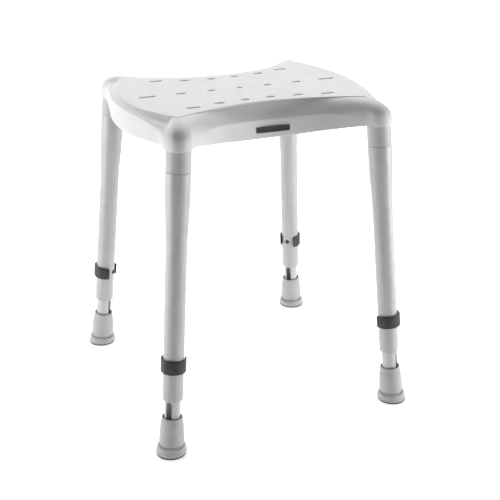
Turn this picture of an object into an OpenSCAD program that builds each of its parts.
/* [Overall] */
// Height of the middle of the seat panel above the floor, at the stored setting
seat_height = 451; // [440:1:460]
// Distance between the feet, side to side, centre to centre
foot_span_x = 350; // [340:1:360]
// Distance between the feet, front to back, centre to centre
foot_span_y = 343; // [333:1:353]
// Distance between the legs where they enter the seat, side to side
head_span_x = 285.4; // [280:0.2:290]
// Distance between the legs where they enter the seat, front to back
head_span_y = 282.8; // [278:0.2:288]

/* [Seat panel] */
// Half width of the panel in the middle of its bowed sides
panel_half_x = 169; // [165:1:173]
// Half depth of the panel at its waist
panel_half_y = 79.5; // [78:0.5:84]
// Distance of the panel's corners from the middle, side to side
corner_x = 136; // [134:1:138]
// Distance of the panel's corners from the middle, front to back
corner_y = 117; // [115:1:119]
// How far the panel's corners rise above its middle
corner_lift = 2.6; // [0:0.1:4]
// Thickness of the moulding
wall = 3.2; // [2.6:0.1:4]
// Width of each drain slot
slot_w = 5.2; // [4:0.2:6]

/* [Skirt] */
// Half width of the skirt in the middle of its bowed sides
skirt_half_x = 178; // [176:1:182]
// Half depth of the skirt at its waist
skirt_half_y = 95.5; // [93:0.5:98]
// Height of the skirt's lower edge at the corners
skirt_bottom = 421; // [420:1:422]
// How far the lower edge dips in the middle of the front and back
dip_front = 16.5; // [10:0.5:18]
// How far the lower edge dips in the middle of each side
dip_side = 7.5; // [4:0.5:10]
// Height of the crease between cove and skirt at the corners
crease_height = 445.5; // [443:0.5:447]

/* [Legs] */
// Outer diameter of the leg tube along its straight part
tube_d = 28; // [27:0.5:29]
// Outer diameter of the leg tube at its top
tube_top_d = 32.8; // [31:0.2:33.4]
// Outer diameter of the extension tube
extension_d = 22; // [21:0.5:22]
// Wall thickness of both tubes
tube_wall = 1.5; // [1:0.1:1.5]
// Distance along the leg from the floor to the lower end of the leg tube's bush
bush_start = 80.4; // [80.4:0.2:84]
// Distance along the leg from the floor to the seam between tube and sleeve
seam = 393.7; // [390:0.5:397]

/* [Height setting] */
// Distance between two height settings
hole_pitch = 25; // [20:1:25]
// Number of settings above the stored one
settings_up = 5; // [3:1:5]
// Distance along the leg from the floor to the clip's pin
pin_at = 131.4; // [130:0.2:133]
// Diameter of the clip's pin
pin_d = 6.6; // [6:0.2:6.8]
// Height of the clip's band
clip_h = 18.7; // [16:0.1:20]

/* [Feet] */
// Diameter of the foot's flange
foot_d = 42; // [40:1:44]
// Distance along the leg from the floor to the foot's mouth
foot_mouth = 54.5; // [52:0.5:54.5]

/* [Hidden] */
$fn = 64;
LEGS = ["fl", "fr", "bl", "br"];

// Legs: the frame of each leg stands on its foot centre, +Z runs up the leg and +X points outward.
lean_x = (foot_span_x - head_span_x) / 2 / skirt_bottom;
lean_y = (foot_span_y - head_span_y) / 2 / skirt_bottom;
lean = atan(norm([lean_x, lean_y]));
head = skirt_bottom / cos(lean);
tube_r = tube_d / 2;
top_r = tube_top_d / 2;
bore_r = tube_r - tube_wall;
extension_r = extension_d / 2;
extension_bottom = 12;
// Centres of the round ends of the extension tube's drain slot, and their radius
drain_low = 50;
drain_high = 75;
drain_r = 4;
extension_top = pin_at + settings_up * hole_pitch + 34;
running = 0.08;
snug = 0.05;
taper_start = 287;
taper_end = 374;
taper_steps = 8;
bush_flange = 3;
bush_length = 23;
pin_hole_r = pin_d / 2 + 0.3;
clip_gap = 0.3;
clip_r = tube_r + clip_gap;
clip_wall = 3;
clip_opening = 80;
sole_h = 2;
foot_r = foot_d / 2;
washer_h = 1.5;
mouth_depth = 9;
play = 0.02;

// Seat: the boss that holds each leg, and the screw that pulls the leg up into it.
boss_r = 18;
boss_top = head + 23;
spigot_r = 12.5;
spigot_h = 12.4;
sleeve_bore_r = 9;
screw_r = 2.5;
screw_seat = head - 12;
screw_head_r = 4.7;
screw_head_h = 3;
hex_r = 1.8;
arc_steps = 20;
corner_steps = 4;
rib_w = 2.4;
rib_bottom = 426;
rib_y = 31;
rib_x = 72;
badge_w = 48;
badge_h = 8;
badge_t = 0.9;
badge_middle = [6.5, 417];

// Points from p to q along a circular arc that stands off the chord by sagitta, to its right.
function arc(p, q, sagitta, steps) =
    let (half = norm(q - p) / 2,
         radius = (half * half + sagitta * sagitta) / (2 * abs(sagitta)),
         side = [(q - p)[1], -(q - p)[0]] / norm(q - p) * sign(sagitta),
         centre = (p + q) / 2 + side * (abs(sagitta) - radius),
         sweep = asin(half / radius))
    [for (i = [0:steps - 1])
        let (turn = (1 - 2 * i / steps) * sweep,
             along = (q - p) / norm(q - p))
        centre + radius * (side * cos(turn) - along * sin(turn))];

// One entry for each station round the seat:
// [lip point, skirt point, crease height, bottom height, lip height].
function fade(i) = 1 - pow(2 * i / arc_steps - 1, 2);
function edge(lip_a, lip_b, lip_sagitta, skirt_a, skirt_b, skirt_sagitta, crease_dip, dip) =
    let (lip = arc(lip_a, lip_b, lip_sagitta, arc_steps),
         skirt = arc(skirt_a, skirt_b, skirt_sagitta, arc_steps))
    [for (i = [0:arc_steps - 1])
        [lip[i], skirt[i], crease_height - crease_dip * fade(i), skirt_bottom - dip * fade(i),
         seat_height + corner_lift * (1 - fade(i))]];
function corner(lip_from, lip_to, from, to) =
    let (lip = arc(lip_from, lip_to, 1, corner_steps), skirt = arc(from, to, 9, corner_steps))
    [for (i = [0:corner_steps - 1])
        [lip[i], skirt[i], crease_height, skirt_bottom, seat_height + corner_lift]];

head_x = head_span_x / 2;
head_y = head_span_y / 2;
side_end = [head_x + 13, head_y - 20];
front_end = [head_x - 17, head_y + 2];
function at(sx, sy, p) = [sx * p[0], sy * p[1]];
lip_front_end = [corner_x - 2.5, corner_y];
lip_side_end = [corner_x, corner_y - 2.5];
crease_dip_front = 15.3;
crease_dip_side = 1;
// One side of the seat, then the corner after it; sx and sy give the quarter in which the side starts.
function front_and_corner(sx, sy) = concat(
    edge(at(-sx, sy, lip_front_end), at(sx, sy, lip_front_end), panel_half_y - corner_y,
         at(-sx, sy, front_end), at(sx, sy, front_end), skirt_half_y - front_end[1],
         crease_dip_front, dip_front),
    corner(at(sx, sy, lip_front_end), at(sx, sy, lip_side_end),
           at(sx, sy, front_end), at(sx, sy, side_end)));
function side_and_corner(sx, sy) = concat(
    edge(at(sx, sy, lip_side_end), at(sx, -sy, lip_side_end), panel_half_x - corner_x,
         at(sx, sy, side_end), at(sx, -sy, side_end), skirt_half_x - side_end[0],
         crease_dip_side, dip_side),
    corner(at(sx, -sy, lip_side_end), at(sx, -sy, lip_front_end),
           at(sx, -sy, side_end), at(sx, -sy, front_end)));
stations = concat(front_and_corner(1, -1), side_and_corner(1, -1),
                  front_and_corner(-1, 1), side_and_corner(-1, 1));

function inset(p, d) = p * (1 - d / norm(p));
function level(p, z) = [p[0], p[1], z];
// The moulding's section at one station: over the lip, down the cove and the skirt, and back inside.
function section(s) =
    let (lip = s[0], skirt = s[1], crease = s[2], bottom = s[3], top = s[4])
    [level(inset(lip, 8), seat_height), level(inset(lip, 1), top), level(lip, top - 1),
     level(lip + (skirt - lip) * 0.3, top - 0.72 * (top - crease)), level(skirt, crease),
     level(skirt, bottom), level(inset(skirt, wall), bottom),
     level(inset(skirt, wall), crease - wall * 0.7),
     level(lip + (inset(skirt, wall) - lip) * 0.1, top - 0.72 * (top - crease) - wall),
     level(inset(lip, 8), seat_height - wall)];
rings = [for (s = stations) section(s)];
section_points = len(rings[0]);

module rim() {
    count = len(rings);
    polyhedron(
        points = [for (ring = rings) each ring],
        faces = [for (i = [0:count - 1]) for (j = [0:section_points - 1])
            let (a = i * section_points, b = (i + 1) % count * section_points,
                 k = (j + 1) % section_points)
            each [[a + j, b + k, a + k], [a + j, b + j, b + k]]]
    );
}

module slot(length) {
    square([length - slot_w, slot_w], center = true);
    for (end = [-1, 1]) translate([end * (length - slot_w) / 2, 0]) circle(d = slot_w, $fn = 24);
}

// Each row holds [distance from the middle, distance from the centre line, length].
middle_row = [[43, 0, 11], [88, 0, 14], [136, 0, 24]];
outer_row = [[18.5, 62, 12], [58, 66.5, 14], [98, 76, 19]];

module drain_slots() {
    circle(d = 7, $fn = 24);
    for (sx = [-1, 1]) {
        for (s = middle_row) translate([sx * s[0], s[1]]) slot(s[2]);
        for (sy = [-1, 1]) for (s = outer_row) translate([sx * s[0], sy * s[1]]) slot(s[2]);
    }
}

module panel() {
    translate([0, 0, seat_height - wall]) linear_extrude(wall) difference() {
        polygon([for (s = stations) inset(s[0], 5)]);
        drain_slots();
    }
}

module bar(length, width, bottom, top) {
    translate([-length / 2, -width / 2, bottom]) cube([length, width, top - bottom]);
}

// Stiffening ribs under the panel, kept clear of the drain slots.
module ribs() {
    for (s = [-1, 1]) {
        translate([0, s * rib_y, 0]) {
            bar(2 * panel_half_x - 14, rib_w, rib_bottom, seat_height - 2);
            bar(2 * skirt_half_x - 8, rib_w, rib_bottom, crease_height - 5);
        }
        translate([s * rib_x, 0, 0]) rotate(90) {
            bar(2 * panel_half_y + 10, rib_w, rib_bottom, seat_height - 2);
            bar(2 * skirt_half_y + 26, rib_w, rib_bottom, crease_height - 13);
        }
    }
}

module at_leg(i) {
    sx = i % 2 * 2 - 1;
    sy = floor(i / 2) * 2 - 1;
    translate([sx * foot_span_x / 2, sy * foot_span_y / 2, 0])
        rotate([0, 0, atan2(sy * lean_y, sx * lean_x)]) rotate([0, -lean, 0]) children();
}

module ring(outer, inner, bottom, top) {
    translate([0, 0, bottom]) difference() {
        cylinder(r = outer, h = top - bottom);
        translate([0, 0, -1]) cylinder(r = inner, h = top - bottom + 2);
    }
}

// The boss is a short post with a domed top.
module boss() {
    shoulder = boss_top - 12;
    dome = [for (i = [0:6]) [boss_r * cos(15 * i), shoulder + 12 * sin(15 * i)]];
    rotate_extrude() polygon(concat([[0, head], [boss_r, head]], dome));
}

module seat_shell() {
    color("whitesmoke") difference() {
        union() {
            rim();
            panel();
            ribs();
            for (i = [0:3]) at_leg(i) boss();
        }
        for (i = [0:3]) at_leg(i) {
            translate([0, 0, head - 10]) cylinder(r = spigot_r + snug, h = 10 + spigot_h + 0.2);
            translate([0, 0, head]) cylinder(r = screw_r + snug, h = spigot_h + 8);
        }
    }
}

// A blank plate on the front of the skirt, bent to the skirt's own curve.
module badge_plate() {
    half = front_end[0];
    depth = front_end[1] - skirt_half_y;
    radius = (half * half + depth * depth) / (2 * depth);
    color("dimgray") translate([0, -skirt_half_y - radius, 0]) intersection() {
        ring(radius - 0.15, radius - 0.15 - badge_t, badge_middle[1] - badge_h / 2,
             badge_middle[1] + badge_h / 2);
        translate([badge_middle[0] - badge_w / 2, 0, badge_middle[1] - badge_h])
            cube([badge_w, 2 * radius, 2 * badge_h]);
    }
}

// Radius of the leg tube's outside at a distance along the leg.
function ease(t) = let (u = min(1, max(0, t))) u * u * (3 - 2 * u);
function tube_radius(s) = tube_r + (top_r - tube_r) * ease((s - taper_start) / (taper_end - taper_start));

module leg_tube() {
    knees = [for (i = [0:taper_steps]) taper_start + (taper_end - taper_start) * i / taper_steps];
    heights = concat([bush_start + bush_flange], knees, [seam]);
    outside = [for (s = heights) [tube_radius(s), s]];
    inside = [for (i = [len(heights) - 1:-1:0]) [tube_radius(heights[i]) - tube_wall, heights[i]]];
    color("silver") difference() {
        rotate_extrude() polygon(concat(outside, inside));
        translate([-tube_r - 2, 0, pin_at]) rotate([0, 90, 0]) cylinder(r = pin_hole_r, h = tube_d + 4);
    }
}

module leg_sleeve() {
    plug_r = top_r - tube_wall - snug;
    color("gainsboro") difference() {
        union() {
            translate([0, 0, seam + 0.6]) cylinder(r = top_r, h = head - seam - 0.8);
            translate([0, 0, seam]) cylinder(r = top_r - 0.8, h = 1);
            translate([0, 0, head - 1]) cylinder(r = spigot_r, h = spigot_h + 1);
            translate([0, 0, taper_end + 1]) cylinder(r = plug_r, h = seam - taper_end);
        }
        translate([0, 0, taper_end]) cylinder(r = sleeve_bore_r, h = screw_seat - taper_end);
        translate([0, 0, screw_seat - 1]) cylinder(r = screw_r + 0.3, h = spigot_h + 20);
    }
}

module leg_screw() {
    translate([0, 0, screw_seat]) cylinder(r = screw_r, h = head + spigot_h + 7 - screw_seat);
    translate([0, 0, screw_seat - screw_head_h]) difference() {
        cylinder(r = screw_head_r, h = screw_head_h);
        translate([0, 0, -1]) cylinder(r = hex_r, h = screw_head_h - 0.2, $fn = 6);
    }
}

module leg_screws() {
    color("lightslategray") for (i = [0:3]) at_leg(i) leg_screw();
}

module guide_bush() {
    hole = extension_r + running;
    color("darkgray") rotate_extrude() polygon([
        [hole, bush_start + 0.6], [hole + 0.6, bush_start], [tube_r - 0.9, bush_start],
        [tube_r, bush_start + 1], [tube_r, bush_start + bush_flange - play],
        [bore_r - snug, bush_start + bush_flange - play], [bore_r - snug, bush_start + bush_length],
        [hole, bush_start + bush_length]
    ]);
}

module extension_tube() {
    color("silver") difference() {
        ring(extension_r, extension_r - tube_wall, extension_bottom, extension_top);
        for (step = [-1:settings_up])
            translate([-extension_r - 2, 0, pin_at + step * hole_pitch])
                rotate([0, 90, 0]) cylinder(r = pin_hole_r, h = extension_d + 4);
        // The drain slot goes through both walls, and its lower end is hidden in the foot's mouth.
        for (end = [drain_low, drain_high])
            translate([-extension_d, 0, end]) rotate([0, 90, 0]) cylinder(r = drain_r, h = 2 * extension_d);
        translate([-extension_d, -drain_r, drain_low])
            cube([2 * extension_d, 2 * drain_r, drain_high - drain_low]);
    }
}

module glide_cap() {
    color("dimgray") {
        ring(bore_r - 0.3, 6, extension_top + play, extension_top + 4);
        ring(extension_r - tube_wall - snug, 6, extension_top - 12, extension_top + 0.1);
    }
}

module height_clip() {
    half = clip_opening / 2;
    bottom = pin_at - clip_h / 2;
    color("darkslategray") difference() {
        union() {
            rotate(180 + half) rotate_extrude(angle = 360 - clip_opening)
                translate([clip_r, bottom]) square([clip_wall, clip_h]);
            for (s = [-1, 1]) rotate(180 + s * half) translate([clip_r + 0.7, -1.2, bottom + 1])
                cube([clip_wall + 0.3, 2.4, clip_h - 2]);
        }
        translate([5, 0, pin_at]) rotate([0, 90, 0]) cylinder(r = pin_d / 2 + snug, h = 30);
    }
}

module clip_pin() {
    tip = tube_r + 2.2;
    color("#1c1e20") translate([0, 0, pin_at]) rotate([0, 90, 0]) rotate_extrude() polygon([
        [0, -tip], [1.6, -tip], [2.6, -tip + 0.5], [pin_d / 2, -tip + 1.6],
        [pin_d / 2, clip_r + clip_wall - 0.6], [0, clip_r + clip_wall - 0.6]
    ]);
}

module rubber_foot(i) {
    shoulder = [[foot_r - 0.4, sole_h], [foot_r, sole_h + 1], [foot_r - 0.2, 5.5], [foot_r - 1.3, 8.6],
                [18.4, 10.2], [17.5, 12.4], [17.2, 15], [10, 16], [10, sole_h]];
    sx = i % 2 * 2 - 1;
    sy = floor(i / 2) * 2 - 1;
    color("darkgray") difference() {
        union() {
            translate([sx * foot_span_x / 2, sy * foot_span_y / 2, 0]) rotate_extrude()
                polygon(concat([[0, sole_h]], shoulder));
            at_leg(i) rotate_extrude() polygon([
                [0, 7], [16.8, 8.8], [17.2, 16], [16.7, 26], [16.4, 36], [15.9, 43],
                [14.9, 49], [14.1, foot_mouth - 1.5], [13.6, foot_mouth], [0, foot_mouth]
            ]);
        }
        at_leg(i) {
            translate([0, 0, extension_bottom - washer_h])
                cylinder(r = extension_r + snug, h = foot_mouth);
            translate([0, 0, foot_mouth - mouth_depth])
                cylinder(r = extension_r + 1.4, h = 2 * mouth_depth);
        }
    }
}

module foot_washer() {
    color("lightsteelblue")
        ring(extension_r, 5, extension_bottom - washer_h + play, extension_bottom - play);
}

module foot_sole(i) {
    sx = i % 2 * 2 - 1;
    sy = floor(i / 2) * 2 - 1;
    color("#4a4c4e") translate([sx * foot_span_x / 2, sy * foot_span_y / 2, 0]) difference() {
        cylinder(r = foot_r - 0.5, h = sole_h);
        for (r = [7, 13]) ring(r + 1, r - 1, -1, 0.9);
    }
}

// Each kind of leg piece is drawn once for each leg, in its own node.
seat_shell();
badge_plate();
leg_screws();
for (i = [0:3]) at_leg(i) leg_sleeve();
for (i = [0:3]) at_leg(i) leg_tube();
for (i = [0:3]) at_leg(i) guide_bush();
for (i = [0:3]) at_leg(i) extension_tube();
for (i = [0:3]) at_leg(i) glide_cap();
for (i = [0:3]) at_leg(i) height_clip();
for (i = [0:3]) at_leg(i) clip_pin();
for (i = [0:3]) at_leg(i) foot_washer();
for (i = [0:3]) rubber_foot(i);
for (i = [0:3]) foot_sole(i);
